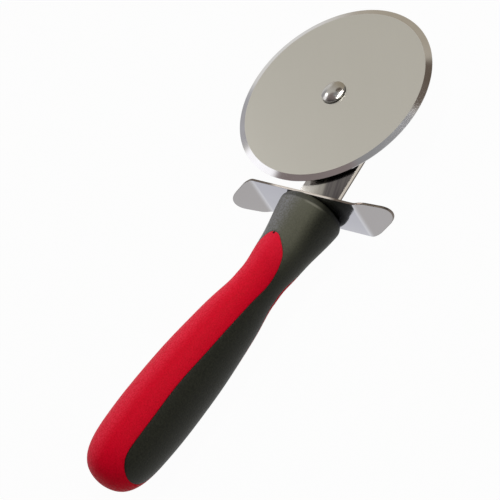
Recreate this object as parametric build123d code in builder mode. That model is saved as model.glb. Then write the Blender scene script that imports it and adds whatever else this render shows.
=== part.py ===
from build123d import *
import os
from math import cos, sin, tan, radians

# A hand pizza cutter: a bevelled steel wheel turns on a rivet at the end of a
# flat arm, the arm passes through a bent finger guard, and its tang is moulded
# into a soft handle in two colours.
# Lengths are in millimetres and angles in degrees. Names that end in _share or
# _shares are fractions of the size that the comment beside them names.
# X runs along the arm towards the wheel, Z along the rivet towards its domed
# head. The origin is under the middle of the cutter, on the surface that the
# handle's belly lies on.

os.makedirs("parts", exist_ok=True)

# Wheel
wheel_radius = 50.8
wheel_thickness = 2.0
bevel_width = 3.1
cutting_land = 0.2

# Rivet, bush and washers
shank_radius = 3.0
neck_radius = 2.5
head_radius = 6.3
head_height = 2.0
head_side_height = 0.5
head_shoulder_radius = 0.7
tail_radius = 4.6
tail_height = 1.9
tail_chamfer = 0.7
running_clearance = 0.05
end_play = 0.06
fit_clearance = 0.05
bush_radius = 5.0
bush_corner = 0.3
head_washer_radius = 5.6
head_washer_thickness = 0.3
spacer_radius = 9.0
spacer_thickness = 0.9
tail_washer_radius = 7.0
tail_washer_thickness = 0.8
washer_corner = 0.1

# Arm
arm_thickness = 2.5
arm_width = 23.6
arm_offset = 24.1
arm_turn = 45.0
arm_inner_radius = 9.0
arm_outer_radius = 26.0
guard_distance = 60.0
tang_width = 12.0
tang_length = 78.0
tang_lock_radius = 2.6
tang_lock_shares = (0.3, 0.62, 0.88)  # along the tang from the guard
tang_end_radius = 4.0
tang_bend_share = 0.3  # of collar_length, from the guard

# Finger guard
guard_thickness = 1.2
guard_depth = 23.2
guard_lift = 0.6  # of the guard's middle above the arm's
guard_flat_length = 63.0
guard_length = 87.8
guard_flank = 38.7  # of a wing's straight sides to its middle line
guard_nose_radius = 7.5
guard_shoulder_radius = 8.0
guard_bend = 30.0
guard_bend_radius = 4.0
guard_rake = 4.0

# Handle: a round collar that narrows to a neck, a slight turn, then the grip
collar_radius = 16.3
collar_length = 46.0
collar_end_radius = 3.7
neck_handle_radius = 11.3
handle_turn = 8.75
grip_length = 113.6
belly_radius = 17.4
handle_drop = 0.7  # of the handle's axis behind the arm's middle
handle_side = 0.6  # of the handle's axis beside the arm's middle
skin = 2.3

# The collar's shape from guard to neck
collar_station_shares = (-0.1, 0.14, 0.3, 0.5, 0.7, 0.86, 1.0)  # of collar_length
collar_narrowing_shares = (-0.02, 0.16, 0.4, 0.706, 0.892, 1.038, 1.0)  # of collar to neck
collar_turn_shares = (0.37, 0.46, 0.57, 0.7, 0.82, 0.91, 1.0)  # of handle_turn

# The grip's outline from neck to butt
grip_station_shares = (0.117, 0.25, 0.385, 0.52, 0.653, 0.775)  # of grip_length
grip_swell_shares = (0.29, 0.598, 0.833, 0.956, 1.0, 0.933)  # of neck to belly
butt_point_share = 0.978  # of grip_length, where the butt turns in
butt_radius_share = 0.515  # of belly_radius, at that place

# The edge between the two colours of skin, seen from the side
red_tip_share = 0.48  # of collar_length, where the red begins on top
waist_share = 0.92  # of collar_length, where the dark is narrowest
panel_half = 12.4
panel_end_gap = 5.6
arch_run_shares = (0.0, 0.153, 0.384, 0.56, 0.746, 1.0)  # of the run from tip to waist
arch_half_shares = (1.05, 0.92, 0.695, 0.57, 0.47, 0.39)  # of panel_half
panel_run_shares = (0.143, 0.256, 0.403, 0.577, 0.757, 0.874, 0.94, 0.98)  # waist to end
panel_half_shares = (0.556, 0.718, 0.871, 1.0, 0.985, 0.927, 0.8, 0.52)  # of panel_half
cut_overrun = 6.0
cut_reach = 60.0

# Places that follow from the sizes above
turn = radians(handle_turn)
dog_leg = radians(arm_turn)
collar_points = []
x_step = -guard_distance - guard_thickness / 2
y_step = -arm_offset - handle_side
last_share = 0
last_turn_share = collar_turn_shares[0]
for share, turn_share in zip(collar_station_shares, collar_turn_shares):
    run = (share - last_share) * collar_length
    mean_turn = turn * (turn_share + last_turn_share) / 2
    x_step -= run * cos(mean_turn)
    y_step += run * sin(mean_turn)
    collar_points.append((x_step, y_step))
    last_share, last_turn_share = share, turn_share
neck_x, neck_y = collar_points[-1]
butt_x = neck_x - grip_length * cos(turn)
guard_reach = guard_length / 2
axle_x = (-butt_x - wheel_radius) / 2
axle_y = (arm_offset + guard_reach - wheel_radius) / 2
handle_z = belly_radius
arm_z = handle_z + handle_drop
arm_front = arm_z + arm_thickness / 2
arm_back = arm_z - arm_thickness / 2
wheel_z = arm_front + spacer_thickness + end_play + wheel_thickness / 2
bush_half = wheel_thickness / 2
head_washer_z = wheel_z + bush_half + end_play
head_z = head_washer_z + head_washer_thickness
tail_washer_z = arm_back - tail_washer_thickness
tail_z = tail_washer_z - tail_height
guard_x = axle_x - guard_distance
handle_y = axle_y - arm_offset
red_tip_x = guard_x - red_tip_share * collar_length
waist_x = guard_x - waist_share * collar_length
panel_end_x = axle_x + butt_x + panel_end_gap
tip_run = red_tip_x - waist_x
panel_run = waist_x - panel_end_x
axle_axis = Axis((axle_x, axle_y, 0), (0, 0, 1))
turning_plane = Plane(origin=(axle_x, axle_y, 0), x_dir=(1, 0, 0), z_dir=(0, -1, 0))

# The guard's own plane leans forward at its front edge
guard_plane = Plane(
    origin=(guard_x, handle_y, arm_z),
    x_dir=(0, 1, 0),
    z_dir=(cos(radians(guard_rake)), 0, -sin(radians(guard_rake))),
)
guard_back_plane = guard_plane.offset(-guard_thickness / 2)


# Wheel blade: a disc, ground to an edge from both faces, with a bore for the bush
with BuildPart() as wheel_blade:
    with BuildSketch(turning_plane):
        with BuildLine():
            Polyline(
                (bush_radius, wheel_z - wheel_thickness / 2),
                (wheel_radius - bevel_width, wheel_z - wheel_thickness / 2),
                (wheel_radius, wheel_z - cutting_land / 2),
                (wheel_radius, wheel_z + cutting_land / 2),
                (wheel_radius - bevel_width, wheel_z + wheel_thickness / 2),
                (bush_radius, wheel_z + wheel_thickness / 2),
                close=True,
            )
        make_face()
    revolve(axis=axle_axis)
wheel_blade.part.label = "wheel_blade"
export_step(wheel_blade.part, "parts/wheel_blade.step")

# Wheel bush: pressed into the blade, it runs on the rivet's shank
with BuildPart() as wheel_bush:
    with BuildSketch(Plane.XY.offset(wheel_z - bush_half)):
        with Locations((axle_x, axle_y)):
            Circle(bush_radius)
            Circle(shank_radius + running_clearance, mode=Mode.SUBTRACT)
    extrude(amount=2 * bush_half)
    bore_ends = wheel_bush.edges().filter_by(GeomType.CIRCLE).sort_by(SortBy.RADIUS)[:2]
    chamfer(bore_ends, length=bush_corner)
wheel_bush.part.label = "wheel_bush"
export_step(wheel_bush.part, "parts/wheel_bush.step")

# Axle rivet: domed head, shouldered shank that bears on the arm, thinner neck
# through the arm, and a flattened tail behind it
dome_radius = (head_radius**2 + (head_height - head_side_height) ** 2) / (
    2 * (head_height - head_side_height)
)
head_rim = (head_radius, head_z + head_side_height)
with BuildPart() as axle_rivet:
    with BuildSketch(turning_plane) as half_rivet:
        with BuildLine():
            Polyline(
                (0, head_z + head_height),
                (0, tail_z),
                (tail_radius - tail_chamfer, tail_z),
                (tail_radius, tail_z + tail_chamfer),
                (tail_radius, tail_washer_z),
                (neck_radius, tail_washer_z),
                (neck_radius, arm_front),
                (shank_radius, arm_front),
                (shank_radius, head_z),
                (head_radius, head_z),
                head_rim,
            )
            RadiusArc(head_rim, (0, head_z + head_height), -dome_radius)
        make_face()
        fillet(half_rivet.vertices().sort_by_distance(head_rim)[0], radius=head_shoulder_radius)
    revolve(axis=axle_axis)
axle_rivet.part.label = "axle_rivet"
export_step(axle_rivet.part, "parts/axle_rivet.step")


def washer(name, outer_radius, bore_radius, base, thickness):
    """A flat ring on the axle, with its sharp outer corners broken."""
    with BuildPart() as ring:
        with BuildSketch(Plane.XY.offset(base)):
            with Locations((axle_x, axle_y)):
                Circle(outer_radius)
                Circle(bore_radius, mode=Mode.SUBTRACT)
        extrude(amount=thickness)
        rims = ring.edges().filter_by(GeomType.CIRCLE).sort_by(SortBy.RADIUS)[-2:]
        chamfer(rims, length=washer_corner)
    ring.part.label = name
    export_step(ring.part, f"parts/{name}.step")


# Thin washer that keeps the head off the blade, spacer between blade and arm,
# and the washer that the tail is closed over
shank_bore = shank_radius + running_clearance
washer("head_washer", head_washer_radius, shank_bore, head_washer_z, head_washer_thickness)
washer("spacer_washer", spacer_radius, shank_bore, arm_front, spacer_thickness)
washer(
    "tail_washer",
    tail_washer_radius,
    neck_radius + fit_clearance,
    tail_washer_z,
    tail_washer_thickness,
)


def corner(point, way_in, way_out, side):
    """The corner of an edge that runs beside a bent centre line."""
    bend = (way_out - way_in) / 2
    length = side / cos(bend)
    middle = (way_in + way_out) / 2
    return (point[0] - length * sin(middle), point[1] + length * cos(middle))


# Arm: one flat stamping, from the eye round the rivet along a dog-leg to the
# guard, where it steps down to a tang that follows the handle's axis
shoulder_x = guard_x + guard_thickness / 2 + arm_thickness / 2 * tan(radians(guard_rake))
eye = (axle_x, axle_y)
dog_leg_point = (axle_x - arm_offset / tan(dog_leg), handle_y)
tang_bend = (guard_x - tang_bend_share * collar_length, handle_y)
tang_rest = tang_length - (shoulder_x - tang_bend[0])
tang_end = (tang_bend[0] - tang_rest * cos(turn), handle_y + tang_rest * sin(turn))
half_arm = arm_width / 2
half_tang = tang_width / 2
eye_way = radians(180) + dog_leg
arm_way = radians(180)
tang_way = radians(180) - turn
with BuildPart() as arm:
    with BuildSketch(Plane.XY.offset(arm_back)) as blank:
        with BuildLine():
            Polyline(
                corner(eye, eye_way, eye_way, half_arm),
                corner(dog_leg_point, eye_way, arm_way, half_arm),
                (shoulder_x, handle_y - half_arm),
                (shoulder_x, handle_y - half_tang),
                corner(tang_bend, arm_way, tang_way, half_tang),
                corner(tang_end, tang_way, tang_way, half_tang),
                corner(tang_end, tang_way, tang_way, -half_tang),
                corner(tang_bend, arm_way, tang_way, -half_tang),
                (shoulder_x, handle_y + half_tang),
                (shoulder_x, handle_y + half_arm),
                corner(dog_leg_point, eye_way, arm_way, -half_arm),
                corner(eye, eye_way, eye_way, -half_arm),
                close=True,
            )
        make_face()
        outer_corner = blank.vertices().sort_by_distance(
            (*corner(dog_leg_point, eye_way, arm_way, half_arm), arm_back)
        )[0]
        fillet(outer_corner, radius=arm_outer_radius)
        inner_corner = blank.vertices().sort_by_distance(
            (*corner(dog_leg_point, eye_way, arm_way, -half_arm), arm_back)
        )[0]
        fillet(inner_corner, radius=arm_inner_radius)
        tang_corners = blank.vertices().sort_by_distance((*tang_end, arm_back))[:2]
        fillet(tang_corners, radius=tang_end_radius)
        with Locations(eye):
            Circle(half_arm)
            Circle(neck_radius + fit_clearance, mode=Mode.SUBTRACT)
        for share in tang_lock_shares:
            along = share * tang_length - (shoulder_x - tang_bend[0])
            lean = turn if along > 0 else 0
            place = (
                tang_bend[0] - along * cos(lean),
                handle_y + along * sin(lean),
            )
            with Locations(place):
                Circle(tang_lock_radius, mode=Mode.SUBTRACT)
    extrude(amount=arm_thickness)
arm.part.label = "arm"
export_step(arm.part, "parts/arm.step")

# Finger guard: sheet steel that narrows to a round nose at each end, one wing
# bent towards the wheel and the other towards the handle, with a slot that the
# tang passes through
wing_run = guard_reach - guard_flat_length / 2
wing_rise = wing_run * tan(radians(guard_bend))
sheet_end = 1 + guard_thickness / wing_run
half_depth = guard_depth / 2
flank = radians(guard_flank)
wing_point = guard_reach + guard_nose_radius * (1 / sin(flank) - 1)
wing_shoulder = wing_point - half_depth / tan(flank)
with BuildPart() as finger_guard:
    with BuildSketch(Plane(guard_plane.origin, x_dir=(0, 1, 0), z_dir=guard_plane.y_dir)):
        with BuildLine() as bent_line:
            FilletPolyline(
                (-guard_flat_length / 2 - wing_run * sheet_end, -wing_rise * sheet_end),
                (-guard_flat_length / 2, 0),
                (guard_flat_length / 2, 0),
                (guard_flat_length / 2 + wing_run * sheet_end, wing_rise * sheet_end),
                radius=guard_bend_radius,
            )
        trace(bent_line.line, line_width=guard_thickness)
    extrude(amount=guard_depth, both=True)
    with BuildSketch(guard_plane.offset(-wing_rise * 2)):
        with Locations((0, guard_lift)):
            with BuildLine():
                FilletPolyline(
                    (wing_shoulder, half_depth),
                    (wing_point, 0),
                    (wing_shoulder, -half_depth),
                    (-wing_shoulder, -half_depth),
                    (-wing_point, 0),
                    (-wing_shoulder, half_depth),
                    radius=2 * [guard_shoulder_radius, guard_nose_radius, guard_shoulder_radius],
                    close=True,
                )
            make_face()
    extrude(amount=wing_rise * 4, mode=Mode.INTERSECT)
    with BuildSketch(guard_plane.offset(-guard_thickness)):
        Rectangle(
            tang_width + 2 * fit_clearance,
            (arm_thickness + 2 * fit_clearance) / cos(radians(guard_rake))
            + guard_thickness * tan(radians(guard_rake)),
        )
    extrude(amount=2 * guard_thickness, mode=Mode.SUBTRACT)
finger_guard.part.label = "finger_guard"
export_step(finger_guard.part, "parts/finger_guard.step")


def handle_form(inset):
    """The handle's outer form, drawn in on all sides but its end at the guard."""
    narrowing = collar_radius - neck_handle_radius
    swell = belly_radius - neck_handle_radius
    with BuildPart() as form:
        for i, (x, y) in enumerate(collar_points):
            way = turn * collar_turn_shares[i]
            station = Plane(
                origin=(axle_x + x, axle_y + y, handle_z),
                x_dir=(sin(way), cos(way), 0),
                z_dir=(-cos(way), sin(way), 0),
            )
            with BuildSketch(station):
                Circle(collar_radius - narrowing * collar_narrowing_shares[i] - inset)
        loft()
        grip_plane = Plane(
            origin=(axle_x + neck_x, axle_y + neck_y, handle_z),
            x_dir=(-cos(turn), sin(turn), 0),
            z_dir=(0, 0, -1),
        )
        with BuildSketch(grip_plane):
            with BuildLine():
                side = Spline(
                    (0, neck_handle_radius - inset),
                    *[
                        (grip_length * along, neck_handle_radius + swell * share - inset)
                        for along, share in zip(grip_station_shares, grip_swell_shares)
                    ],
                    (
                        grip_length * butt_point_share - inset * butt_radius_share,
                        belly_radius * butt_radius_share - inset * butt_radius_share,
                    ),
                    (grip_length - inset, 0),
                    tangents=((1, 0), (0, -1)),
                )
                Polyline(side @ 1, (0, 0), side @ 0)
            make_face()
        revolve(axis=Axis(grip_plane.origin, grip_plane.x_dir))
        split(bisect_by=guard_back_plane, keep=Keep.BOTTOM)
        end_rim = form.edges().sort_by(Axis.X)[-1]
        fillet(end_rim, radius=collar_end_radius)
    return form.part


# Handle core: hard plastic moulded round the tang and through its holes
with BuildPart() as handle_core:
    add(handle_form(skin))
    add(arm.part, mode=Mode.SUBTRACT)
handle_core.part.label = "handle_core"
export_step(handle_core.part, "parts/handle_core.step")

# The soft skin over the core is in two colours that meet on one edge: the dark
# one is the collar and a long panel on each side, the red one the rest


def edge_points(side):
    """Points on one edge of the side panels, from the red's tip to the waist."""
    shoulder = [
        (red_tip_x - tip_run * along, handle_z + side * panel_half * half)
        for along, half in zip(arch_run_shares, arch_half_shares)
    ]
    swell = [
        (waist_x - panel_run * along, handle_z + side * panel_half * half)
        for along, half in zip(panel_run_shares, panel_half_shares)
    ]
    return shoulder + swell


def skin_form():
    """The whole soft skin, before it is split by colour."""
    with BuildPart() as shell:
        add(handle_form(0))
        add(handle_form(skin), mode=Mode.SUBTRACT)
    return shell.part


def dark_region():
    """Everything that is dark when the handle is seen from the side."""
    over = handle_z + belly_radius + cut_overrun
    under = handle_z - belly_radius - cut_overrun
    with BuildPart() as region:
        with BuildSketch(Plane.XZ.offset(-cut_reach)):
            with BuildLine():
                edge = Spline(
                    (red_tip_x + cut_overrun, over),
                    *edge_points(1),
                    (panel_end_x, handle_z),
                    *reversed(edge_points(-1)),
                    (red_tip_x + cut_overrun, under),
                )
                Polyline(
                    edge @ 1,
                    (guard_x + cut_overrun, under),
                    (guard_x + cut_overrun, over),
                    edge @ 0,
                )
            make_face()
        extrude(amount=2 * cut_reach)
    return region.part


# Black grip: the collar and the side panels, in one moulding
with BuildPart() as black_grip:
    add(skin_form())
    add(dark_region(), mode=Mode.INTERSECT)
black_grip.part.label = "black_grip"
export_step(black_grip.part, "parts/black_grip.step")

# Red grip: a strap from the front over the butt to the back, in one moulding
with BuildPart() as red_grip:
    add(skin_form())
    add(dark_region(), mode=Mode.SUBTRACT)
red_grip.part.label = "red_grip"
export_step(red_grip.part, "parts/red_grip.step")
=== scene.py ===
import bmesh
import bpy
import numpy
from math import asin, cos, pi, radians, sin, sqrt, tan
from mathutils import Matrix, Vector
from mathutils.kdtree import KDTree


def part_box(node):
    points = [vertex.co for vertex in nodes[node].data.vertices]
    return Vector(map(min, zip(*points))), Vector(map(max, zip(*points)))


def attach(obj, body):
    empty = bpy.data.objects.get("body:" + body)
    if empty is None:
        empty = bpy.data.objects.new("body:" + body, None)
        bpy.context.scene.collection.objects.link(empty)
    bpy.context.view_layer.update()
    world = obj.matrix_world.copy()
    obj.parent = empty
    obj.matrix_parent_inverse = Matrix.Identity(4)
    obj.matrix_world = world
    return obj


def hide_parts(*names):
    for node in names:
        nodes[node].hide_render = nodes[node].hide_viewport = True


# A hand pizza cutter. Lengths are in metres: X runs along the arm towards the wheel,
# Z along the rivet towards its domed head, and the handle lies on the floor.

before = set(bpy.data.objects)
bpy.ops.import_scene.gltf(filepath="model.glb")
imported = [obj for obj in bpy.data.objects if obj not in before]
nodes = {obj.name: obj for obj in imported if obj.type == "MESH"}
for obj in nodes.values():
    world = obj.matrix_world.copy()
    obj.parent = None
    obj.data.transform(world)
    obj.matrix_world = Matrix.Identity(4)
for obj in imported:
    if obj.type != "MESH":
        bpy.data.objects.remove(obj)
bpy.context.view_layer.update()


# Wheel blade: a disc of stainless sheet with a fine satin face, ground from both
# sides to a cutting edge. Its bore is pressed on the bush that runs on the rivet.
blade_low, blade_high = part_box("wheel_blade")
axle = (blade_low + blade_high) / 2
blade_radius = (blade_high.x - blade_low.x) / 2
blade_thickness = blade_high.z - blade_low.z
blade_bore = 0.005
bevel_width = 0.0031
cutting_land = 0.0002
blade_steps = 256
weld = 1e-7  # points closer than this are one


class Wire:
    """A socket of a material's nodes, so that a pattern is written as arithmetic."""

    def __init__(self, finish, socket):
        self.finish = finish
        self.socket = socket

    def math(self, operation, *values):
        return self.finish.math(operation, *values)

    def __add__(self, other):
        return self.math("ADD", self, other)

    def __radd__(self, other):
        return self.math("ADD", other, self)

    def __sub__(self, other):
        return self.math("SUBTRACT", self, other)

    def __rsub__(self, other):
        return self.math("SUBTRACT", other, self)

    def __mul__(self, other):
        return self.math("MULTIPLY", self, other)

    def __rmul__(self, other):
        return self.math("MULTIPLY", other, self)

    def __abs__(self):
        return self.math("ABSOLUTE", self)

    def over(self, low, high):
        """0 below low and 1 above high, with a smooth step between."""
        return self.finish.node(
            "ShaderNodeMapRange",
            {"interpolation_type": "SMOOTHSTEP"},
            {"Value": self, "From Min": low, "From Max": high},
        )


class Finish:
    """The nodes of a material, or of the world, in the making."""

    def __init__(self, owner):
        self.material = owner
        owner.use_nodes = True
        self.tree = owner.node_tree
        self.tree.nodes.clear()

    def node(self, kind, settings={}, inputs={}, output=0):
        """Adds one node: its settings first, then the values or wires of its inputs."""
        made = self.tree.nodes.new(kind)
        for name, value in settings.items():
            setattr(made, name, value)
        for name, value in inputs.items():
            if isinstance(value, Wire):
                self.tree.links.new(value.socket, made.inputs[name])
            else:
                made.inputs[name].default_value = value
        return Wire(self, made.outputs[output]) if made.outputs else made

    def math(self, operation, *values):
        return self.node("ShaderNodeMath", {"operation": operation}, dict(enumerate(values)))

    def place(self, scale, turn=0.0):
        """Object coordinates, turned about Z and then scaled along each axis."""
        whole = self.node("ShaderNodeTexCoord", output="Object")
        turned = self.node(
            "ShaderNodeMapping", {"vector_type": "POINT"},
            {"Vector": whole, "Rotation": (0.0, 0.0, turn)},
        )
        return self.node(
            "ShaderNodeVectorMath", {"operation": "MULTIPLY"}, {0: turned, 1: scale}
        )

    def along(self, direction, start):
        """How far a point lies from start in a direction, in metres."""
        whole = self.node("ShaderNodeTexCoord", output="Object")
        from_start = self.node(
            "ShaderNodeVectorMath", {"operation": "SUBTRACT"}, {0: whole, 1: start}
        )
        return self.node(
            "ShaderNodeVectorMath", {"operation": "DOT_PRODUCT"},
            {0: from_start, 1: direction}, output=1,
        )

    def noise(self, scale, turn=0.0, detail=3.0, roughness=0.55):
        """Noise from 0 to 1, with as many grains to the metre along each axis as scale."""
        return self.node(
            "ShaderNodeTexNoise", {},
            {"Vector": self.place(scale, turn), "Scale": 1.0, "Detail": detail,
             "Roughness": roughness},
        )

    def mix(self, factor, first, second):
        """A colour between two others."""
        return self.node(
            "ShaderNodeMix", {"data_type": "RGBA"},
            {"Factor": factor, 6: (*first, 1.0) if isinstance(first, tuple) else first,
             7: (*second, 1.0) if isinstance(second, tuple) else second},
            output=2,
        )

    def bump(self, height, distance):
        """Normals of a surface that rises by a distance where the height is 1."""
        return self.node("ShaderNodeBump", {}, {"Height": height, "Distance": distance})

    def surface(self, **inputs):
        """Ends the material in one shader with the inputs given."""
        names = {name.replace("_", " "): value for name, value in inputs.items()}
        shader = self.node("ShaderNodeBsdfPrincipled", {}, names)
        self.node("ShaderNodeOutputMaterial", {}, {"Surface": shader})
        return self.material


def new_finish(name):
    return Finish(bpy.data.materials.new(name))


def add_piece(mesh_form, name, finishes, body, *node_names, slot, sharp=30.0):
    """Makes an object of a bmesh: smooth but for its sharp edges, on its body."""
    bmesh.ops.remove_doubles(mesh_form, verts=mesh_form.verts, dist=weld)
    mesh = bpy.data.meshes.new(name)
    mesh_form.to_mesh(mesh)
    mesh_form.free()
    for finish in finishes:
        mesh.materials.append(finish)
    mesh.shade_smooth()
    mesh.set_sharp_from_angle(angle=radians(sharp))
    piece = bpy.data.objects.new(name, mesh)
    bpy.context.scene.collection.objects.link(piece)
    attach(piece, body)
    if node_names:
        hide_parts(*node_names)
    return piece


def turned_form(profile, steps):
    """A bmesh spun about the axle from points of radius and height, in order."""
    form = bmesh.new()
    points = [form.verts.new((axle.x + r, axle.y, z)) for r, z in profile]
    lines = [form.edges.new(pair) for pair in zip(points, points[1:] + points[:1])]
    bmesh.ops.spin(
        form, geom=points + lines, cent=axle, axis=(0.0, 0.0, 1.0), angle=2 * pi,
        steps=steps, use_merge=True,
    )
    bmesh.ops.remove_doubles(form, verts=form.verts, dist=weld)
    bmesh.ops.recalc_face_normals(form, faces=form.faces)
    return form


half_blade = blade_thickness / 2
half_land = cutting_land / 2
blade_side = [
    (blade_bore, half_blade), (blade_radius - bevel_width, half_blade), (blade_radius, half_land)
]
blade_form = turned_form(
    [(r, axle.z + z) for r, z in blade_side]
    + [(r, axle.z - z) for r, z in reversed(blade_side)],
    blade_steps,
)
for face in blade_form.faces:
    out = (face.calc_center_median() - axle).xy.length
    face.material_index = 1 if out > blade_radius - bevel_width else 0

satin_turn = radians(38.0)  # of the rolling lines to the arm
satin_grey = (0.612, 0.597, 0.552)
satin_pale = (0.634, 0.619, 0.575)
satin = new_finish("blade_satin")
satin_lines = satin.noise((20.0, 500.0, 20.0), turn=-satin_turn, detail=1.0)
satin_cloud = satin.noise((28.0, 28.0, 28.0))
satin.surface(
    Metallic=1.0,
    Base_Color=satin.mix(satin_lines * 0.3 + satin_cloud * 0.7, satin_grey, satin_pale),
    Roughness=0.275 + satin_cloud * 0.003,
)

ground_grey = (0.66, 0.64, 0.63)
ground_pale = (0.74, 0.73, 0.74)
ground = new_finish("blade_bevel")
ground_cloud = ground.noise((160.0, 160.0, 400.0), detail=2.0)
ground.surface(
    Metallic=1.0,
    Base_Color=ground.mix(ground_cloud, ground_grey, ground_pale),
    Roughness=0.06 + ground_cloud * 0.05,
    Normal=ground.bump(ground_cloud, 0.000003),
)
add_piece(
    blade_form, "blade", [satin.material, ground.material], "wheel", "wheel_blade",
    slot="blade_steel", sharp=10.0,
)


# Wheel bush: a turned brass ring pressed into the blade's bore. It runs on the rivet's
# shank and turns with the blade.
bush_deep = (0.62, 0.44, 0.19)
bush_bright = (0.72, 0.55, 0.28)


def refinish(finish, *node_names):
    """Gives carried-over nodes a finish, with their shapes as they are."""
    for name in node_names:
        nodes[name].data.materials.clear()
        nodes[name].data.materials.append(finish)


bush_metal = new_finish("bush_brass")
bush_rings = bush_metal.noise((300.0, 300.0, 6000.0), detail=2.0)
bush_metal.surface(
    Metallic=1.0,
    Base_Color=bush_metal.mix(bush_rings, bush_deep, bush_bright),
    Roughness=0.25 + bush_rings * 0.15,
    Normal=bush_metal.bump(bush_rings, 0.000004),
)
refinish(bush_metal.material, "wheel_bush")


# Axle rivet: a bright steel rivet whose domed head holds the wheel and whose shank
# bears on the arm. Its tail is closed over a washer behind the arm.
rivet_low, rivet_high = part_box("axle_rivet")
arm_low, arm_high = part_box("arm")
head_radius = (rivet_high.x - rivet_low.x) / 2
head_height = 0.002
head_side_height = 0.0005
head_shoulder_radius = 0.0007
shank_radius = 0.003
neck_radius = 0.0025
tail_radius = 0.0046
tail_height = 0.0019
tail_crown = 0.0007
tail_crown_cut = 0.3  # of tail_crown, both ways, at the middle of the tail's chamfer
rivet_steps = 96
dome_steps = 16
dome_shoulder_steps = 8
rivet_grey = (0.46, 0.44, 0.42)
rivet_pale = (0.60, 0.58, 0.56)
head_seat = rivet_high.z - head_height


def arc(middle, radius, start, end, steps):
    """Points of radius and height on an arc, by its angles from the axle's direction."""
    return [
        (middle[0] + radius * sin(a), middle[1] + radius * cos(a))
        for a in (start + (end - start) * i / steps for i in range(steps + 1))
    ]


dome_rise = head_height - head_side_height
dome_radius = (head_radius**2 + dome_rise**2) / (2 * dome_rise)
dome_middle = rivet_high.z - dome_radius
shoulder_out = head_radius - head_shoulder_radius
dome_end = asin(shoulder_out / (dome_radius - head_shoulder_radius))
shoulder_middle = dome_middle + (dome_radius - head_shoulder_radius) * cos(dome_end)
rivet_form = turned_form(
    arc((0.0, dome_middle), dome_radius, 0.0, dome_end, dome_steps)
    + arc(
        (shoulder_out, shoulder_middle), head_shoulder_radius, dome_end, pi / 2,
        dome_shoulder_steps,
    )[1:]
    + [
        (head_radius, head_seat),
        (shank_radius, head_seat),
        (shank_radius, arm_high.z),
        (neck_radius, arm_high.z),
        (neck_radius, rivet_low.z + tail_height),
        (tail_radius, rivet_low.z + tail_height),
        (tail_radius, rivet_low.z + tail_crown),
        (tail_radius - tail_crown * tail_crown_cut, rivet_low.z + tail_crown * tail_crown_cut),
        (tail_radius - tail_crown, rivet_low.z),
        (0.0, rivet_low.z),
    ],
    rivet_steps,
)

polish = new_finish("rivet_polish")
polish_cloud = polish.noise((420.0, 420.0, 420.0), detail=3.0)
polish_pits = polish.noise((2600.0, 2600.0, 2600.0), detail=1.0)
polish.surface(
    Metallic=1.0,
    Base_Color=polish.mix(polish_cloud, rivet_grey, rivet_pale),
    Roughness=0.11 + polish_cloud * 0.06 + polish_pits.over(0.62, 0.74) * 0.08,
    Normal=polish.bump(polish_cloud * 0.9 + polish_pits * 0.1, 0.00003),
)
add_piece(
    rivet_form, "rivet", [polish.material], "root", "axle_rivet", slot="polished_steel",
    sharp=35.0,
)


# Washers: a thin one under the rivet's head, a spacer between the blade and the arm,
# and one behind the arm that the tail is closed over. All are bright stamped steel.
washer_grey = (0.5, 0.49, 0.47)
washer_pale = (0.62, 0.61, 0.59)
washer_metal = new_finish("washer_steel")
washer_lines = washer_metal.noise((200.0, 2400.0, 200.0), detail=2.0)
washer_metal.surface(
    Metallic=1.0,
    Base_Color=washer_metal.mix(washer_lines, washer_grey, washer_pale),
    Roughness=0.26 + washer_lines * 0.12,
    Normal=washer_metal.bump(washer_lines, 0.000003),
)
refinish(washer_metal.material, "head_washer", "spacer_washer", "tail_washer")


# Arm: one flat stamping of brushed stainless strip. It runs from the eye round the
# rivet along a dog-leg to the guard, and its tang passes through into the handle.
arm_width = 0.0236
arm_offset = 0.0241
arm_turn = radians(45.0)
arm_inner_radius = 0.009
arm_outer_radius = 0.026
tang_width = 0.012
tang_length = 0.078
tang_end_radius = 0.004
tang_bend_reach = 0.0138
arm_edge_round = 0.00018
eye_gap = 0.00001  # left straight at the eye's tip, between its two rounds
corner_steps = 24  # of each round in the outline
edge_round_steps = 3
rim_angle = radians(60.0)  # edges that turn by more than this are a sheet's rims
wall_lean = 0.5  # faces that lean past this, by their normal, are the sheared wall
brush_turn = radians(16.0)  # of the brushing to the arm
arm_painted_shade_reach = (-0.0125, -0.0085)  # across the arm from the axle, where the painted reflection goes from dark to light
# Painted reflection on the arm's face: pale on its +Y side, dark towards -Y
arm_painted_light = (0.43, 0.41, 0.38)
arm_painted_dark = (0.12, 0.11, 0.115)
wall_change = (0.0007, 0.0011)  # up the sheared wall, dark to light
wall_dark = (0.08, 0.06, 0.05)
wall_light = (0.62, 0.57, 0.50)
guard_distance = 0.06
guard_thickness = 0.0012
guard_rake = radians(4.0)
handle_turn = radians(8.75)
handle_y = axle.y - arm_offset
guard_x = axle.x - guard_distance
shoulder_x = guard_x + guard_thickness / 2 + (arm_high.z - arm_low.z) / 2 * tan(guard_rake)
eye = Vector((axle.x, axle.y))
dog_leg = Vector((axle.x - arm_offset / tan(arm_turn), handle_y))
tang_bend = Vector((guard_x - tang_bend_reach, handle_y))
tang_way = Vector((-cos(handle_turn), sin(handle_turn)))
tang_end = tang_bend + tang_way * (tang_length - (shoulder_x - tang_bend.x))


def offset_corner(point, way_in, way_out, side):
    """The corner of an edge that runs beside a bent centre line, in the plane."""
    bend = (way_out - way_in) / 2
    middle = (way_in + way_out) / 2
    return point + Vector((-sin(middle), cos(middle))) * (side / cos(bend))


def round_reach(radius, inner_angle):
    """How far from a corner its bevel must begin to be as deep as a round of a radius."""
    half = inner_angle / 2
    return radius * (1 / sin(half) - 1) / ((2 - sqrt(2)) * cos(half))


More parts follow.
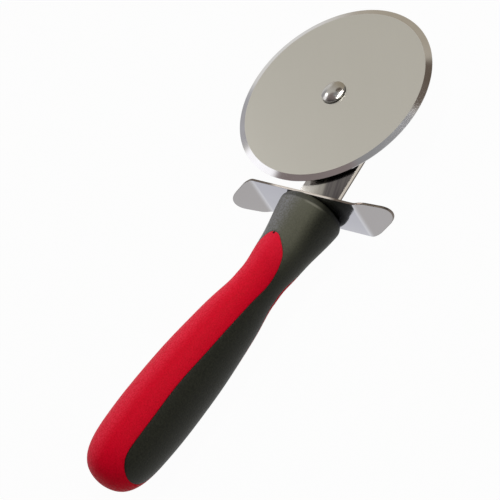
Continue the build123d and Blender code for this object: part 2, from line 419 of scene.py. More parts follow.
half_arm = arm_width / 2
half_tang = tang_width / 2
eye_way = pi + arm_turn
tang_angle = pi - handle_turn
eye_end = eye - Vector((cos(eye_way), sin(eye_way))) * half_arm
arm_corners = [
    (offset_corner(eye_end, eye_way, eye_way, half_arm), half_arm),
    (offset_corner(dog_leg, eye_way, pi, half_arm), round_reach(arm_outer_radius, pi - arm_turn)),
    (Vector((shoulder_x, handle_y - half_arm)), 0.0),
    (Vector((shoulder_x, handle_y - half_tang)), 0.0),
    (offset_corner(tang_bend, pi, tang_angle, half_tang), 0.0),
    (offset_corner(tang_end, tang_angle, tang_angle, half_tang), tang_end_radius),
    (offset_corner(tang_end, tang_angle, tang_angle, -half_tang), tang_end_radius),
    (offset_corner(tang_bend, pi, tang_angle, -half_tang), 0.0),
    (Vector((shoulder_x, handle_y + half_tang)), 0.0),
    (Vector((shoulder_x, handle_y + half_arm)), 0.0),
    (offset_corner(dog_leg, eye_way, pi, -half_arm), round_reach(arm_inner_radius, pi - arm_turn)),
    (offset_corner(eye_end, eye_way, eye_way, -half_arm), half_arm - eye_gap),
]
arm_form = bmesh.new()
outline = [arm_form.verts.new((*place, arm_low.z)) for place, _ in arm_corners]
arm_form.faces.new(outline)
for corner, (_, reach) in zip(outline, arm_corners):
    if reach:
        bmesh.ops.bevel(
            arm_form, geom=[corner], offset=reach, offset_type="OFFSET", segments=corner_steps,
            profile=0.5, affect="VERTICES", material=-1, clamp_overlap=True,
        )
raised = bmesh.ops.extrude_face_region(arm_form, geom=arm_form.faces[:])
bmesh.ops.translate(
    arm_form, vec=(0.0, 0.0, arm_high.z - arm_low.z),
    verts=[v for v in raised["geom"] if isinstance(v, bmesh.types.BMVert)],
)
bmesh.ops.recalc_face_normals(arm_form, faces=arm_form.faces)
arm_rims = [
    e for e in arm_form.edges
    if e.is_manifold and e.calc_face_angle() > rim_angle
    and abs(e.verts[0].co.z - e.verts[1].co.z) < weld
]
bmesh.ops.bevel(
    arm_form, geom=arm_rims, offset=arm_edge_round, offset_type="OFFSET",
    segments=edge_round_steps, profile=0.5, affect="EDGES", material=-1, clamp_overlap=True,
)

for face in arm_form.faces:
    face.material_index = 1 if abs(face.normal.z) < wall_lean else 0

brushed = new_finish("arm_brushed")
brushed_lines = brushed.noise((45.0, 3600.0, 45.0), turn=-brush_turn, detail=3.0)
brushed_streak = brushed.noise((25.0, 1500.0, 25.0), turn=-brush_turn, detail=2.0)
brushed_across = brushed.along((-sin(brush_turn), cos(brush_turn), 0.0), axle)
# Painted reflection: the face is painted pale on its +Y side and dark towards -Y, mixed with
# brushed streaks
arm_painted_shade = 1.0 - brushed_across.over(*arm_painted_shade_reach)
brushed.surface(
    Metallic=1.0,
    Base_Color=brushed.mix(
        arm_painted_shade * 0.8 + brushed_streak.over(0.35, 0.65) * 0.2,
        arm_painted_light, arm_painted_dark,
    ),
    Roughness=0.16 + brushed_lines * 0.08,
    Normal=brushed.bump(brushed_lines * 0.7 + brushed_streak * 0.3, 0.000002),
)
sheared = new_finish("arm_wall")
sheared_lines = sheared.noise((900.0, 900.0, 120.0), detail=3.0)
sheared_height = sheared.along((0.0, 0.0, 1.0), arm_low)
sheared.surface(
    Metallic=1.0,
    Base_Color=sheared.mix(
        sheared_height.over(*wall_change) * 0.85 + sheared_lines * 0.15, wall_dark, wall_light
    ),
    Roughness=0.3 + sheared_lines * 0.15,
    Normal=sheared.bump(sheared_lines, 0.00001),
)
add_piece(
    arm_form, "arm_strap", [brushed.material, sheared.material], "root", "arm",
    slot="brushed_steel",
)


# Finger guard: polished sheet that narrows to a round nose at each end, one wing bent
# towards the wheel and the other towards the handle. Its faces carry painted tones: lit on
# the flat, shaded on the wings, with a painted highlight along each bend. Its sheared rims
# are dark on the wings and carry a painted highlight in the middle, and the tang passes
# through its slot.
guard_depth = 0.0232
guard_lift = 0.0006  # of the guard's middle above the arm's
guard_flat_length = 0.063
guard_length = 0.0878
guard_flank = radians(38.7)  # of a wing's straight sides to its middle line
guard_nose_radius = 0.0075
guard_shoulder_radius = 0.008
guard_bend = radians(30.0)
guard_bend_radius = 0.004
guard_edge_round = 0.0002
slot_side_gap = 0.00005
slot_face_gap = 0.00015
bend_steps = 12
rim_lean = 0.82  # faces that lean past this, by their normal, are the sheared rim
# Painted tones of the faces: lit on the flat, shaded on the wings, a painted highlight at the
# bends
guard_lit_flat = (0.43, 0.43, 0.475)
guard_shaded_wing = (0.375, 0.36, 0.36)
guard_bend_highlight = (0.60, 0.60, 0.63)
# The rims: a painted highlight in the middle, their own dark sheared colour on the wings
rim_painted_highlight = (0.86, 0.80, 0.76)
rim_dark = (0.10, 0.075, 0.06)
wing_shade_change = (0.0300, 0.0320)  # from the guard's middle, from the painted lit flat to the painted shaded wing
bend_highlight_rise = (0.0290, 0.0305)
bend_highlight_fall = (0.0305, 0.0330)
rim_highlight_end = (0.015, 0.021)  # from the guard's middle, from the painted highlight to the dark rim
arm_z = (arm_low.z + arm_high.z) / 2
guard_middle = (guard_x, handle_y, arm_z)
bend_start = guard_flat_length / 2 - guard_bend_radius * tan(guard_bend / 2)
bend_arc = guard_bend_radius * sin(guard_bend)


def guard_rise(across):
    """How far the bent sheet's middle stands from its flat, at a place along it."""
    over = abs(across) - bend_start
    if over <= 0:
        rise = 0.0
    elif over < bend_arc:
        rise = guard_bend_radius - sqrt(guard_bend_radius**2 - over**2)
    else:
        rise = guard_bend_radius * (1 - cos(guard_bend)) + (over - bend_arc) * tan(guard_bend)
    return -rise if across < 0 else rise


half_depth = guard_depth / 2
wing_point = guard_length / 2 + guard_nose_radius * (1 / sin(guard_flank) - 1)
wing_shoulder = wing_point - half_depth / tan(guard_flank)
guard_form = bmesh.new()
guard_corners = []
for side in (1, -1):
    for x, y, reach in (
        (wing_shoulder, -half_depth, round_reach(guard_shoulder_radius, pi - guard_flank)),
        (wing_point, 0.0, round_reach(guard_nose_radius, 2 * guard_flank)),
        (wing_shoulder, half_depth, round_reach(guard_shoulder_radius, pi - guard_flank)),
    ):
        guard_corners.append((guard_form.verts.new((side * x, side * y + guard_lift, 0.0)), reach))
guard_form.faces.new([corner for corner, _ in guard_corners])
for corner, reach in guard_corners:
    bmesh.ops.bevel(
        guard_form, geom=[corner], offset=reach, offset_type="OFFSET", segments=corner_steps,
        profile=0.5, affect="VERTICES", material=-1, clamp_overlap=True,
    )


def cut_guard(place, way):
    """Adds a straight line of edges through a place, square to a way."""
    bmesh.ops.bisect_plane(
        guard_form, geom=guard_form.verts[:] + guard_form.edges[:] + guard_form.faces[:],
        plane_co=place, plane_no=way,
    )


for side in (-1, 1):
    for step in range(bend_steps + 1):
        bend_at = bend_start + bend_arc * step / bend_steps
        cut_guard((side * bend_at, 0.0, 0.0), (1.0, 0.0, 0.0))
# The tang's slot, cut as four lines with the middle left out
slot_half = tang_width / 2 + slot_side_gap
slot_rise = (arm_high.z - arm_low.z) / 2 + slot_face_gap
cut_guard((slot_half, 0.0, 0.0), (1.0, 0.0, 0.0))
cut_guard((-slot_half, 0.0, 0.0), (1.0, 0.0, 0.0))
cut_guard((0.0, slot_rise, 0.0), (0.0, 1.0, 0.0))
cut_guard((0.0, -slot_rise, 0.0), (0.0, 1.0, 0.0))
slot_faces = [
    f for f in guard_form.faces
    if abs(f.calc_center_median().x) < slot_half and abs(f.calc_center_median().y) < slot_rise
]
bmesh.ops.delete(guard_form, geom=slot_faces, context="FACES")
for vert in guard_form.verts:
    vert.co.z = guard_rise(vert.co.x)
bmesh.ops.solidify(guard_form, geom=guard_form.faces[:], thickness=guard_thickness)
middle_z = sum(v.co.z for v in guard_form.verts) / len(guard_form.verts)
bmesh.ops.translate(guard_form, vec=(0.0, 0.0, -middle_z), verts=guard_form.verts)
bmesh.ops.recalc_face_normals(guard_form, faces=guard_form.faces)
guard_rims = [
    e for e in guard_form.edges if e.is_manifold and e.calc_face_angle() > rim_angle
]
bmesh.ops.bevel(
    guard_form, geom=guard_rims, offset=guard_edge_round, offset_type="OFFSET",
    segments=edge_round_steps, profile=0.5, affect="EDGES", material=-1, clamp_overlap=True,
)
for face in guard_form.faces:
    face.material_index = 1 if abs(face.normal.z) < rim_lean else 0
guard_normal = Vector((cos(guard_rake), 0.0, -sin(guard_rake)))
guard_across = Vector((0.0, 1.0, 0.0))
guard_up = guard_normal.cross(guard_across)
guard_place = Matrix((guard_across, guard_up, -guard_normal)).transposed().to_4x4()
guard_place.translation = guard_middle
bmesh.ops.transform(guard_form, matrix=guard_place, verts=guard_form.verts)
bmesh.ops.recalc_face_normals(guard_form, faces=guard_form.faces)

guard_metal = new_finish("guard_polish")
guard_lines = guard_metal.noise((3800.0, 60.0, 3800.0), detail=2.0)
guard_cloud = guard_metal.noise((70.0, 70.0, 70.0), detail=3.0)
guard_out = abs(guard_metal.along(guard_across, guard_middle))
# Painted tones: the flat is painted lit and the wings shaded, with a painted highlight along each
# bend
bend_highlight = guard_out.over(*bend_highlight_rise) * (1.0 - guard_out.over(*bend_highlight_fall))
guard_lit_and_shaded = guard_metal.mix(guard_out.over(*wing_shade_change), guard_lit_flat, guard_shaded_wing)
guard_metal.surface(
    Metallic=1.0,
    Base_Color=guard_metal.mix(bend_highlight * 0.6 + guard_cloud * 0.1, guard_lit_and_shaded, guard_bend_highlight),
    Roughness=0.06 + guard_cloud * 0.05 + guard_lines * 0.03,
    Normal=guard_metal.bump(guard_lines * 0.7 + guard_cloud * 0.3, 0.000002),
)
rim = new_finish("guard_rim")
rim_lines = rim.noise((900.0, 900.0, 120.0), detail=3.0)
rim_out = abs(rim.along(guard_across, guard_middle))
# Painted highlight on the middle of the rim, fading to the dark sheared rim on the wings
rim.surface(
    Metallic=1.0,
    Base_Color=rim.mix(
        rim_out.over(*rim_highlight_end) * 0.85 + rim_lines * 0.15, rim_painted_highlight, rim_dark
    ),
    Roughness=0.25 + rim_lines * 0.15,
    Normal=rim.bump(rim_lines, 0.00001),
)
add_piece(
    guard_form, "guard", [guard_metal.material, rim.material], "root", "finger_guard",
    slot="guard_steel",
)


# Handle core: the hard black plastic that is moulded round the tang. Only its end at
# the guard could ever be seen, so it keeps its plain form.
core_black = (0.03, 0.03, 0.03)
core_worn = (0.045, 0.045, 0.042)
core_plastic = new_finish("core_plastic")
core_grain = core_plastic.noise((900.0, 900.0, 900.0), detail=2.0)
core_plastic.surface(
    Base_Color=core_plastic.mix(core_grain, core_black, core_worn),
    Roughness=0.5 + core_grain * 0.1,
    Normal=core_plastic.bump(core_grain, 0.00001),
)
refinish(core_plastic.material, "handle_core")


# Grip skins: soft rubber in two colours, moulded over the core. The dark skin is the
# collar and a panel on each side, the red one a strap over the butt from front to
# back. They meet in a fine groove, and both have the mould's fine grain.
handle_z = 0.0174
handle_side = 0.0006  # of the handle's axis beside the arm's middle
collar_radius = 0.0163
collar_length = 0.046
collar_end_radius = 0.0037
neck_handle_radius = 0.0113
grip_length = 0.1136
belly_radius = 0.0174
skin = 0.0022
collar_station_shares = (-0.1, 0.14, 0.3, 0.5, 0.7, 0.86, 1.0)  # of collar_length
collar_narrowing_shares = (-0.02, 0.16, 0.4, 0.706, 0.892, 1.038, 1.0)  # of collar to neck
collar_turn_shares = (0.37, 0.46, 0.57, 0.7, 0.82, 0.91, 1.0)  # of handle_turn
grip_station_shares = (0.117, 0.25, 0.385, 0.52, 0.653, 0.775)  # of grip_length
grip_swell_shares = (0.29, 0.598, 0.833, 0.956, 1.0, 0.933)  # of neck to belly
butt_point_share = 0.978  # of grip_length
butt_radius_share = 0.515  # of belly_radius
red_tip_share = 0.48  # of collar_length
waist_share = 0.92  # of collar_length
panel_half = 0.0124
panel_end_gap = 0.0056
arch_run_shares = (0.0, 0.153, 0.384, 0.56, 0.746, 1.0)  # of the run from tip to waist
arch_half_shares = (1.05, 0.92, 0.695, 0.57, 0.47, 0.39)  # of panel_half
panel_run_shares = (0.143, 0.256, 0.403, 0.577, 0.757, 0.874, 0.94, 0.98)  # waist to end
panel_half_shares = (0.556, 0.718, 0.871, 1.0, 0.985, 0.927, 0.8, 0.52)  # of panel_half
groove_width = 0.00045
groove_depth = 0.00026
groove_lips = (0.0, 0.00012, 0.00025, groove_width)
lip_share_limits = (0.0, 0.04, 0.08, 0.12)  # of a row, where it is short
cut_overrun = 0.006  # of the colours' edge past the red's tip and above the skin
inner_insets = (0.0058, 0.0048)  # of the collar's end inside its round, at the guard
row_count = 240  # of the rows from the red's tip to the panels' ends
side_steps = 40  # across a row
groove_steps = 12  # of the groove to each row
collar_steps = 28  # along the collar's sides
roll_steps = 14  # of the collar's rounded end
butt_steps = 40
butt_crowding = 1.5  # power that draws the butt's rows together at the groove
halvings = 36
guard_rounds = 8  # of the search for the guard's back
search_end = 0.004  # before the butt's tip, where the search for a place on the skin ends
small_turn = 0.0001
small_step = 0.000001
skin_weld = 5e-7
seam_weld = 1e-6  # of the red skin's two halves
least_length = 1e-15  # a normal is divided by, at the butt's tip


def smooth_through(places, points, first=None, last=None):
    """A cubic spline through points, as a function; first and last are end slopes."""
    places = numpy.array(places, float)
    points = numpy.array(points, float).reshape(len(places), -1)
    gaps = numpy.diff(places)
    slopes = numpy.diff(points, axis=0) / gaps[:, None]
    count = len(places)
    system = numpy.zeros((count, count))
    wanted = numpy.zeros_like(points)
    for i in range(1, count - 1):
        system[i, i - 1:i + 2] = (gaps[i], 2 * (gaps[i - 1] + gaps[i]), gaps[i - 1])
        wanted[i] = 3 * (gaps[i] * slopes[i - 1] + gaps[i - 1] * slopes[i])
    system[0, :2] = (1, 0) if first is not None else (2, 1)
    wanted[0] = first if first is not None else 3 * slopes[0]
    system[-1, -2:] = (0, 1) if last is not None else (1, 2)
    wanted[-1] = last if last is not None else 3 * slopes[-1]
    ends = numpy.linalg.solve(system, wanted)

    def at(place):
        place = numpy.asarray(place, float)
        i = numpy.clip(numpy.searchsorted(places, place) - 1, 0, count - 2)
        gap = gaps[i][..., None]
        t = (place - places[i])[..., None] / gap
        return (
            points[i] * (1 + 2 * t) * (1 - t) ** 2 + ends[i] * gap * t * (1 - t) ** 2
            + points[i + 1] * t * t * (3 - 2 * t) + ends[i + 1] * gap * t * t * (t - 1)
        )

    return at


def chord_places(points):
    """Places along a row of points, by the straight distance between them."""
    steps = numpy.linalg.norm(numpy.diff(numpy.array(points), axis=0), axis=1)
    return [0.0, *numpy.cumsum(steps)]


# The centre line: a gentle curve in the collar, then straight down the grip
centre_points = []
centre_x = guard_x - guard_thickness / 2
centre_y = handle_y - handle_side
last_share, last_turn = 0.0, collar_turn_shares[0]
for share, turn_share in zip(collar_station_shares, collar_turn_shares):
    run = (share - last_share) * collar_length
    way = handle_turn * (turn_share + last_turn) / 2
    centre_x -= run * cos(way)
    centre_y += run * sin(way)
    centre_points.append((centre_x, centre_y))
    last_share, last_turn = share, turn_share
neck_x = centre_x
narrowing = collar_radius - neck_handle_radius
collar_stations = [share * collar_length for share in collar_station_shares]
collar_line = smooth_through(
    collar_stations,
    [(*point, turn_share * handle_turn, collar_radius - narrowing * share)
     for point, turn_share, share
     in zip(centre_points, collar_turn_shares, collar_narrowing_shares)],
)
swell = belly_radius - neck_handle_radius
grip_points = (
    [(0.0, neck_handle_radius)]
    + [(grip_length * along, neck_handle_radius + swell * share)
       for along, share in zip(grip_station_shares, grip_swell_shares)]
    + [(grip_length * butt_point_share, belly_radius * butt_radius_share), (grip_length, 0.0)]
)
grip_places = chord_places(grip_points)
grip_outline = smooth_through(grip_places, grip_points, first=(1, 0), last=(0, -1))
skin_end = collar_length + grip_places[-1]


def skin_point(angle, s, inset=0.0):
    """Points on the handle, at a distance s from the guard along its outline. Angle 0 is
    the side that faces -Y, and 90 degrees the top."""
    x, y, way, out = numpy.moveaxis(collar_line(numpy.minimum(s, collar_length)), -1, 0)
    along, grip_out = numpy.moveaxis(grip_outline(numpy.clip(s - collar_length, 0, None)), -1, 0)
    out = numpy.where(numpy.less(s, collar_length), out, grip_out) - inset
    side = out * numpy.cos(angle)
    return numpy.stack(
        numpy.broadcast_arrays(
            x - along * cos(handle_turn) - numpy.sin(way) * side,
            y + along * sin(handle_turn) - numpy.cos(way) * side,
            handle_z + out * numpy.sin(angle),
        ),
        axis=-1,
    )


def halved(low, high, too_low):
    """The place between low and high where too_low turns false."""
    for _ in range(halvings):
        middle = (low + high) / 2
        short = too_low(middle)
        low = numpy.where(short, middle, low)
        high = numpy.where(short, high, middle)
    return high


def reach_x(angle, x):
    """Distance from the guard at which the skin, at an angle, comes down to x."""
    return halved(0.0, skin_end - search_end, lambda s: skin_point(angle, s)[..., 0] > x)


# The colours' edge, as the side view shows it, from above the tip to the panel's end
red_tip_x = guard_x - red_tip_share * collar_length
waist_x = guard_x - waist_share * collar_length
panel_end_x = neck_x - grip_length * cos(handle_turn) + panel_end_gap
tip_run = red_tip_x - waist_x
panel_run = waist_x - panel_end_x
edge_points = (
    [(red_tip_x + cut_overrun, belly_radius + cut_overrun)]
    + [(red_tip_x - tip_run * along, panel_half * share)
       for along, share in zip(arch_run_shares, arch_half_shares)]
    + [(waist_x - panel_run * along, panel_half * share)
       for along, share in zip(panel_run_shares, panel_half_shares)]
    + [(panel_end_x, 0.0)]
)
edge_places = chord_places(edge_points)
edge_line = smooth_through(edge_places, edge_points, last=(0, -1))


# The red begins where the edge first comes down to the collar's highest line, which is
# a little off the top, as the collar turns while it narrows
near_top = numpy.linspace(radians(80.0), radians(100.0), 2001)
top = near_top[numpy.argmax(skin_point(near_top, reach_x(near_top, red_tip_x))[:, 2])]


def edge_angle(x, half, start):
    """The angle, from start up to the top, at which the skin at x is half above the
    handle's middle."""
    return halved(
        start, top, lambda angle: skin_point(angle, reach_x(angle, x))[..., 2] < handle_z + half
    )


def edge_over_top(place):
    x, half = numpy.moveaxis(edge_line(place), -1, 0)
    return skin_point(top, reach_x(top, x))[..., 2] < handle_z + half


tip_place = halved(edge_places[0], edge_places[3], edge_over_top)
# The rows stand closest at the tip, where the edge turns most
row_shares = numpy.linspace(0.0, 1.0, row_count + 1)
row_shares = row_shares**2 * (3 - row_shares) / 2
edge_x, edge_half = edge_line(tip_place + (edge_places[-1] - tip_place) * row_shares).T
front_edge = edge_angle(edge_x, edge_half, 0.0)
back_edge = edge_angle(edge_x, edge_half, pi)
front_edge[[0, -1]] = top, 0.0
back_edge[[0, -1]] = top, pi

fine_rows = numpy.arange(row_count * groove_steps + 1) / groove_steps
groove = KDTree(4 * len(fine_rows))
for edge in (front_edge, back_edge):
    fine_angle = numpy.interp(fine_rows, range(row_count + 1), edge)
    fine_x = numpy.interp(fine_rows, range(row_count + 1), edge_x)
    for side in (1, -1):
        for spot in skin_point(side * fine_angle, reach_x(side * fine_angle, fine_x)):
            groove.insert(spot, 0)
groove.balance()


def grooved_point(angle, s):
    """Points on the skin, let down into the groove where the colours meet."""
    angle, s = numpy.broadcast_arrays(angle, s)
    points = skin_point(angle, s)
    around = skin_point(angle + small_turn, s) - skin_point(angle - small_turn, s)
    along = skin_point(angle, s + small_step) - skin_point(angle, s - small_step)
    out = numpy.cross(around, along)
    out /= numpy.maximum(numpy.linalg.norm(out, axis=-1, keepdims=True), least_length)
    away = numpy.array([groove.find(point)[2] for point in points.reshape(-1, 3)])
    share = numpy.clip(1 - away.reshape(angle.shape) / groove_width, 0, 1)
    return points - out * (groove_depth * share * share)[..., None]


def spread(start, end, reach):
    """Rows of angles from start to end, close together by both ends for the groove; reach
    is each row's length along the skin."""
    start, end, reach = numpy.atleast_1d(start, end, reach)
    lips = numpy.outer(1 / numpy.maximum(reach, weld), groove_lips)
    lips = numpy.minimum(lips, lip_share_limits)
    inner = lips[:, -1:] + (1 - 2 * lips[:, -1:]) * numpy.linspace(0, 1, side_steps + 1)[1:-1]
    shares = numpy.hstack((lips, inner, 1 - lips[:, ::-1]))
    return start[:, None] + (end - start)[:, None] * shares


def laid_grid(form, points):
    """Lays a grid over an array of points, by rows and columns."""
    rows, columns = points.shape[:2]
    grid = bmesh.ops.create_grid(form, x_segments=columns - 1, y_segments=rows - 1, size=1.0)
    for vert in grid["verts"]:
        column = round((vert.co.x + 1) / 2 * (columns - 1))
        row = round((vert.co.y + 1) / 2 * (rows - 1))
        vert.co = points[row, column]


guard_facing = numpy.array(guard_normal)
guard_back = numpy.array(guard_middle) - guard_facing * guard_thickness / 2


def at_guard(angle, inset):
    """Distance s at which the skin, drawn in by inset, meets the guard's back."""
    s = numpy.zeros(numpy.broadcast(angle, inset).shape)
    for _ in range(guard_rounds):
        s = s + (skin_point(angle, s, inset) - guard_back) @ guard_facing
    return s


edge_radius = skin_point(top, reach_x(top, edge_x))[..., 2] - handle_z
dark_form = bmesh.new()
ring_angles = []
for start, end in ((-front_edge, front_edge), (back_edge, 2 * pi - back_edge)):
    angles = spread(start, end, (end - start) * edge_radius)
    laid_grid(dark_form, grooved_point(angles, reach_x(angles, edge_x[:, None])))
    ring_angles = numpy.append(ring_angles[:-1], angles[0])
roll = numpy.linspace(pi / 2, 0.0, roll_steps + 1)
end_inset = numpy.append(inner_insets, collar_end_radius * (1 - numpy.cos(roll)))[:, None]
end_run = numpy.append((0.0, 0.0), collar_end_radius * (1 - numpy.sin(roll)))[:, None]
end_rows = skin_point(ring_angles, at_guard(ring_angles, end_inset) + end_run, end_inset)
side_start = at_guard(ring_angles, 0.0) + collar_end_radius
side_end = reach_x(ring_angles, edge_x[0])
side_run = side_end - groove_width - side_start
side_rows = numpy.vstack((
    side_start + side_run * numpy.linspace(0, 1, collar_steps + 1)[1:, None],
    side_end - numpy.array(groove_lips[2::-1])[:, None],
))
laid_grid(dark_form, numpy.concatenate((end_rows, grooved_point(ring_angles, side_rows))))
bmesh.ops.remove_doubles(dark_form, verts=dark_form.verts, dist=skin_weld)
bmesh.ops.recalc_face_normals(dark_form, faces=dark_form.faces)

red_form = bmesh.new()
angles = spread(front_edge, back_edge, (back_edge - front_edge) * edge_radius)
strap = grooved_point(angles, reach_x(angles, edge_x[:, None]))
butt_start = reach_x(angles[-1], panel_end_x)
butt_rest = skin_end - butt_start - groove_width
butt_shares = numpy.linspace(0, 1, butt_steps + 1)[1:, None] ** butt_crowding
butt_s = numpy.vstack((
    butt_start + numpy.array(groove_lips[1:])[:, None],
    butt_start + groove_width + butt_rest * butt_shares,
))
even = numpy.linspace(0.0, pi, len(angles[-1]))
evened = numpy.vstack((numpy.zeros((3, 1)), butt_shares))
butt = grooved_point(angles[-1] * (1 - evened) + even * evened, butt_s)
laid_grid(red_form, numpy.concatenate((strap, butt)))
bmesh.ops.mirror(
    red_form, geom=red_form.verts[:] + red_form.edges[:] + red_form.faces[:],
    matrix=Matrix.Translation((0.0, 0.0, -handle_z)), merge_dist=seam_weld, axis="Z",
)
bmesh.ops.remove_doubles(red_form, verts=red_form.verts, dist=skin_weld)
bmesh.ops.recalc_face_normals(red_form, faces=red_form.faces)


# The gate's mark, and the painted sheen, shade and highlight on the rubber, along X from
# the guard or the neck and across the handle from its middle, where minus is the side
# that faces -Y
gate_mark_run = 0.0006  # behind the red's tip
gate_mark_radius = 0.0009
gate_mark_colour = (0.02, 0.0, 0.0)
collar_sheen_start = (-0.0128, -0.0083)  # across, of the painted sheen that makes the collar paler
top_sheen_start = (-0.0045, 0.004)  # across, where the grey painted sheen begins
top_sheen_rise = (0.0, 0.006)  # above the handle's middle, of the grey painted sheen
painted_sheen_end = (0.0115, 0.0145)  # across, where both painted sheens end on the far side
collar_start = (0.0, 0.026)  # from the neck
end_shade_start = (-0.0039, -0.0031)  # from the guard, of the painted shade on the collar's rounded end
end_highlight_start = (-0.0047, -0.0041)  # from the guard, of the painted highlight line behind it
end_highlight_near = (-0.0125, -0.008)  # across, where the line fades in
end_highlight_far = (-0.006, -0.003)  # across, where it fades out
# The colour of the painted highlight line
end_highlight_colour = (0.21, 0.205, 0.17)
gate_mark = Vector(skin_point(top, reach_x(top, red_tip_x - gate_mark_run)))


def rubber(name, deep, light, collar_painted_sheen, top_painted_sheen, shine):
    """Soft matt rubber: fine mould grain, a painted sheen that makes the collar paler, a grey
    painted sheen over its top, painted shade on the collar's rounded end with a painted
    highlight line behind it, and the dark mark of the mould's gate at the red's tip."""
    finish = new_finish(name)
    fine = finish.noise((2600.0, 2600.0, 2600.0), detail=2.0)
    speck = finish.noise((1300.0, 1300.0, 1300.0), detail=2.0)
    cloud = finish.noise((60.0, 60.0, 60.0), detail=4.0)
    colour = finish.mix(cloud * 0.25 + fine * 0.25 + speck.over(0.3, 0.7) * 0.5, deep, light)

    neck = (neck_x, centre_y, handle_z)
    across = finish.along((sin(handle_turn), cos(handle_turn), 0.0), neck)
    far_side = across.over(*painted_sheen_end)
    on_collar = finish.along((1.0, 0.0, 0.0), neck).over(*collar_start)
    # Painted sheen: the collar is painted paler except on its -Y side and far side, speckled by
    # the grain
    collar_sheen_share = (across.over(*collar_sheen_start) - far_side) * on_collar * (0.55 + speck * 0.45)
    colour = finish.mix(collar_sheen_share, colour, collar_painted_sheen)
    # Painted sheen: a grey, speckled sheen is painted over the handle's top
    above = finish.along((0.0, 0.0, 1.0), neck).over(*top_sheen_rise)
    top_sheen_speckle = 0.3 + speck.over(0.38, 0.62) * 0.7
    colour = finish.mix((across.over(*top_sheen_start) - far_side) * top_sheen_speckle * above, colour, top_painted_sheen)

    ahead = finish.along((1.0, 0.0, 0.0), guard_middle)
    # Painted shade on the collar's rounded end, next to the guard
    end_painted_shade = ahead.over(*end_shade_start)
    colour = finish.mix(end_painted_shade * 0.6, colour, deep)
    # Painted highlight: a pale line painted just behind the rounded end
    end_painted_highlight = ahead.over(*end_highlight_start) * (1.0 - end_painted_shade)
    end_painted_highlight = end_painted_highlight * across.over(*end_highlight_near) * (1.0 - across.over(*end_highlight_far))
    colour = finish.mix(end_painted_highlight * 0.8, colour, end_highlight_colour)

    whole = finish.node("ShaderNodeTexCoord", output="Object")
    from_gate = finish.node(
        "ShaderNodeVectorMath", {"operation": "DISTANCE"}, {0: whole, 1: gate_mark}, output=1
    )
    past_gate = from_gate.over(gate_mark_radius * 0.4, gate_mark_radius)
    finish.surface(
        Base_Color=finish.mix(past_gate, gate_mark_colour, colour),
        Roughness=0.42 + cloud * 0.06 + speck * 0.12,
        Specular_IOR_Level=shine,
        Normal=finish.bump(fine * 0.4 + speck * 0.6, 0.0002),
    )
    return finish.material


def skinned(form, name, finish, node_name, slot):
    piece = add_piece(form, name, [finish], "root", node_name, slot=slot, sharp=50.0)
    wall = piece.modifiers.new("wall", "SOLIDIFY")
    wall.thickness = skin
    wall.offset = -1.0
    return piece


dark_rubber = rubber(
    "rubber_dark", deep=(0.003, 0.0035, 0.001), light=(0.022, 0.023, 0.014),
    collar_painted_sheen=(0.122, 0.122, 0.09), top_painted_sheen=(0.19, 0.19, 0.205), shine=0.22,
)
red_rubber = rubber(
    "rubber_red", deep=(0.56, 0.0, 0.012), light=(0.745, 0.001, 0.024),
    collar_painted_sheen=(0.745, 0.008, 0.035), top_painted_sheen=(0.80, 0.025, 0.06), shine=0.06,
)
skinned(dark_form, "grip_dark", dark_rubber, "black_grip", "black_rubber")
skinned(red_form, "grip_red", red_rubber, "red_grip", "red_rubber")


# Table and light: a pale table under the cutter, a soft grey room for the steel to
# mirror, a small lamp behind it and a strip lamp above the wheel. The table and the room
# look white to the camera.
table_size = 6.0
table_grey = (0.38, 0.38, 0.38)
table_pale = (0.41, 0.41, 0.41)
table_white_share = 0.97
white = (1.0, 1.0, 1.0, 1.0)
room_warms = (0.36, 0.8)  # to the right, by the direction's X
left_wall_ends = (-0.4, 0.0)  # by the direction's X
near_wall_ends = (-0.15, 0.12)  # by the direction's Y
wall_band_start = (0.08, 0.2)  # above the table, by the direction's Z
table_form = bmesh.new()
bmesh.ops.create_grid(table_form, x_segments=2, y_segments=2, size=table_size)
table_mesh = bpy.data.meshes.new("table")
table_form.to_mesh(table_mesh)
table_form.free()
table = bpy.data.objects.new("table", table_mesh)
bpy.context.scene.collection.objects.link(table)

table_top = new_finish("table_top")
seen = table_top.node("ShaderNodeLightPath", output="Is Camera Ray")
seen = seen + table_top.node("ShaderNodeLightPath", output="Is Glossy Ray")
seen = seen + table_top.node("ShaderNodeLightPath", output="Is Transmission Ray")
paper = table_top.noise((40.0, 40.0, 40.0))
plain = table_top.node(
    "ShaderNodeBsdfDiffuse", {}, {"Color": table_top.mix(paper, table_grey, table_pale)}
)
glow = table_top.node("ShaderNodeEmission", {}, {"Color": white, "Strength": 1.0})
blend = table_top.node(
    "ShaderNodeMixShader", {},
    {0: table_top.math("MINIMUM", seen, 1.0) * table_white_share, 1: plain, 2: glow},
)
table_top.node("ShaderNodeOutputMaterial", {}, {"Surface": blend})
table_mesh.materials.append(table_top.material)

world = bpy.data.worlds.new("surround")
bpy.context.scene.world = world
surround = Finish(world)
way = surround.node("ShaderNodeTexCoord", output="Generated")
to_right, to_far_side, to_top = (
    surround.node("ShaderNodeSeparateXYZ", {}, {0: way}, output=axis) for axis in ("X", "Y", "Z")
)


def patch(direction, low, high):
    """1 within a round patch of the surround and 0 outside, by the cosines of its rims."""
    lean = surround.node(
        "ShaderNodeVectorMath", {"operation": "DOT_PRODUCT"},
        {0: way, 1: Vector(direction).normalized()}, output=1,
    )
    return lean.over(low, high)


def low_wall(dark, low, high):
    """The colour of a side of the room: dark, with a paler band above the table."""
    band = to_top.over(*wall_band_start) * (1.0 - to_top.over(low, high))
    return surround.mix(band, dark, (0.34, 0.335, 0.32))


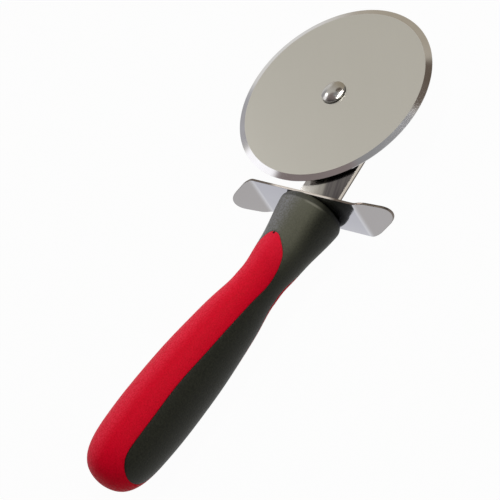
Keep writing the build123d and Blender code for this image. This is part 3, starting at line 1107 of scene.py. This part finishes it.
room = surround.mix(to_right.over(*room_warms), (0.665, 0.65, 0.61), (0.46, 0.41, 0.32))
for direction, low, high, colour in (
    ((0.38, 0.90, 0.19), 0.94, 0.99, (0.84, 0.84, 0.82)),  # the bevel's top mirrors it
    ((0.19, 0.92, 0.32), 0.975, 0.992, (0.48, 0.48, 0.50)),  # the bevel's left
    ((-0.15, 0.38, 0.91), 0.90, 0.94, (0.28, 0.235, 0.23)),  # the bevel at the arm
    ((0.20, 0.20, 0.96), 0.975, 0.99, (0.34, 0.345, 0.355)),  # the bevel's lower right
    ((0.51, 0.26, 0.82), 0.98, 0.991, (0.14, 0.11, 0.085)),  # the bevel's right
):
    room = surround.mix(patch(direction, low, high), room, colour)
left_wall = low_wall((0.05, 0.05, 0.05), 0.66, 0.8)
room = surround.mix(to_right.over(*left_wall_ends), left_wall, room)
far_window = patch((-0.03, 0.80, 0.60), 0.982, 0.992)
room = surround.mix(far_window, room, (1.35, 1.36, 1.40))
near_wall = low_wall((0.08, 0.08, 0.08), 0.5, 0.68)
room = surround.mix(to_far_side.over(*near_wall_ends), near_wall, room)
near_window = patch((0.05, -0.62, 0.78), 0.89, 0.98)
room = surround.mix(near_window, room, (1.9, 1.9, 1.65))
room_light = surround.node("ShaderNodeBackground", {}, {"Color": room, "Strength": 1.0})
backdrop = surround.node("ShaderNodeBackground", {}, {"Color": white, "Strength": 1.0})
seen = surround.node("ShaderNodeLightPath", output="Is Camera Ray")
blend = surround.node("ShaderNodeMixShader", {}, {0: seen, 1: room_light, 2: backdrop})
surround.node("ShaderNodeOutputWorld", {}, {"Surface": blend})


def add_lamp(name, place, long, wide, power, colour):
    """An oblong soft lamp that faces the axle, its long side level."""
    lamp_data = bpy.data.lights.new(name, "AREA")
    lamp_data.shape = "RECTANGLE"
    lamp_data.size = long
    lamp_data.size_y = wide
    lamp_data.energy = power
    lamp_data.color = colour
    lamp = bpy.data.objects.new(name, lamp_data)
    bpy.context.scene.collection.objects.link(lamp)
    back = (Vector(place) - axle).normalized()
    level = Vector((1.0, 0.0, 0.0)) - back * back.x
    level.normalize()
    turn = Matrix((level, back.cross(level), back)).transposed().to_4x4()
    lamp.matrix_world = Matrix.Translation(place) @ turn


add_lamp("key", (0.20, 0.80, 0.64), 0.07, 0.07, 0.6, (0.98, 0.99, 1.0))
add_lamp("strip", (0.235, -0.035, 0.63), 0.42, 0.09, 1.95, (1.0, 0.99, 0.98))


# Camera: at the photograph's angle, fitted to the wheel's outline there
camera_right = Vector((0.5050838, -0.7257816, -0.4670455))
camera_up = Vector((0.8020840, 0.1949204, 0.5645062))
camera_from_axle = Vector((-0.4565789, -0.7660288, 0.7824146))
camera_data = bpy.data.cameras.new("camera")
camera_data.lens = 180.0
camera_data.sensor_width = 36.0
camera = bpy.data.objects.new("camera", camera_data)
bpy.context.scene.collection.objects.link(camera)
camera_back = camera_right.cross(camera_up)
camera_turn = Matrix((camera_right, camera_up, camera_back)).transposed().to_4x4()
camera.matrix_world = Matrix.Translation(axle + camera_from_axle) @ camera_turn
bpy.context.scene.camera = camera
bpy.context.scene.view_settings.view_transform = "Standard"
